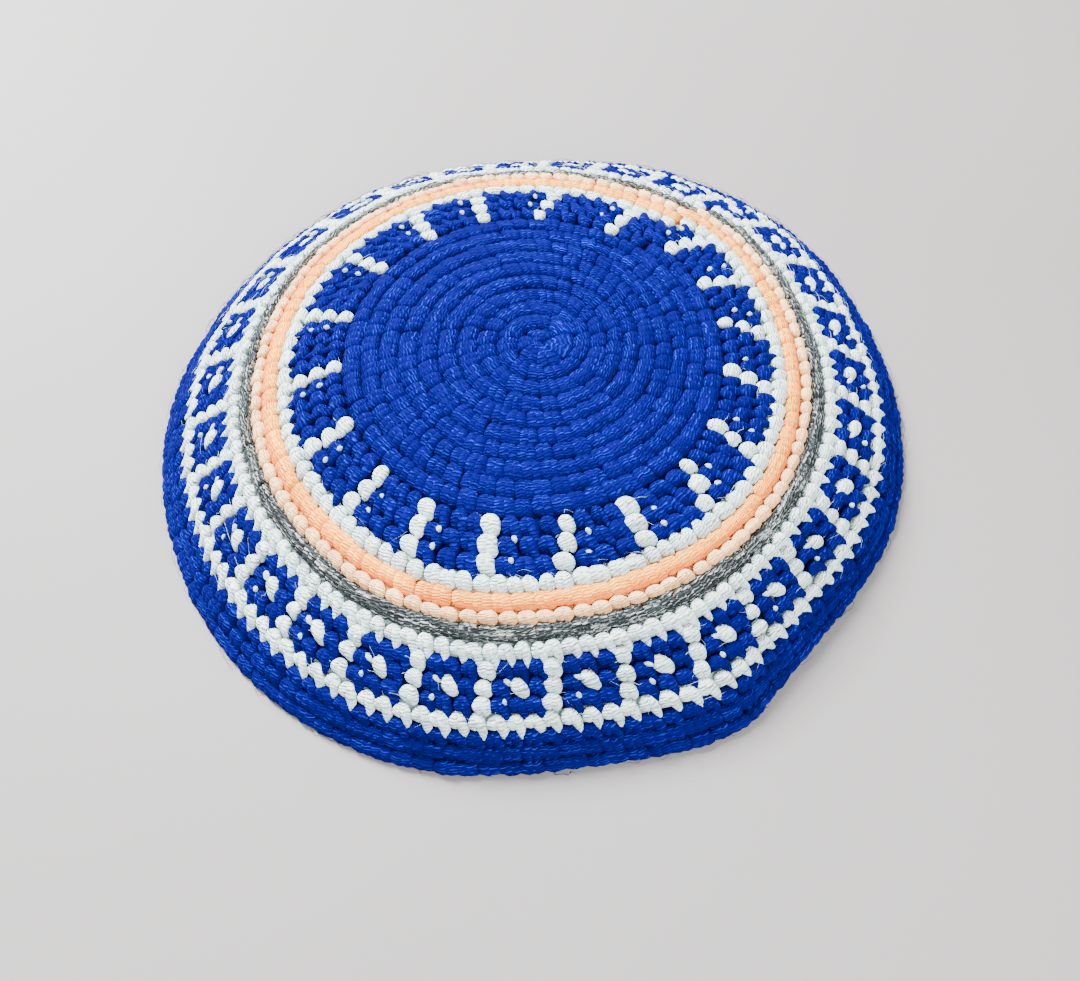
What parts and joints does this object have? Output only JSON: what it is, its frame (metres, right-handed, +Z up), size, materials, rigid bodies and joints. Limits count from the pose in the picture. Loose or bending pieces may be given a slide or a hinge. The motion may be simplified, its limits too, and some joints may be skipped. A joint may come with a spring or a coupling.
{
  "type": "crocheted kippah",
  "caption": "Round hand-crocheted kippah, a shallow soft cap worked in one spiral, lying dome up on its rim, with an open hollow for the back of the head.",
  "frame": {"origin": "on the surface that the rim lies on, under the middle of the rim's outline", "axes": "+Z up through the crown, -Y towards the side that faces the viewer, +X to the viewer's right"},
  "size_m": [0.1904, 0.1882, 0.033],
  "materials": {
    "blue_yarn": "soft matt acrylic yarn in royal blue",
    "blue_and_white_points": "royal blue yarn with white points worked in",
    "white_yarn": "soft matt yarn in cool white",
    "peach_yarn": "soft matt yarn in peach",
    "cream_yarn": "soft matt yarn in cream",
    "grey_yarn": "matt yarn flecked light and dark grey",
    "white_and_blue_windows": "white and royal blue yarns worked together",
    "border_blue_yarn": "soft matt acrylic yarn in royal blue",
    "edge_blue_yarn": "soft matt acrylic yarn in royal blue, slip-stitched edge"
  },
  "bodies": {
    "root": {"crown": "blue_yarn", "point_band": "blue_and_white_points", "upper_white_round": "white_yarn", "peach_round": "peach_yarn", "cream_round": "cream_yarn", "grey_round": "grey_yarn", "window_band": "white_and_blue_windows", "rim_border": "border_blue_yarn", "rim_edge": "edge_blue_yarn"}
  },
  "joints": []
}
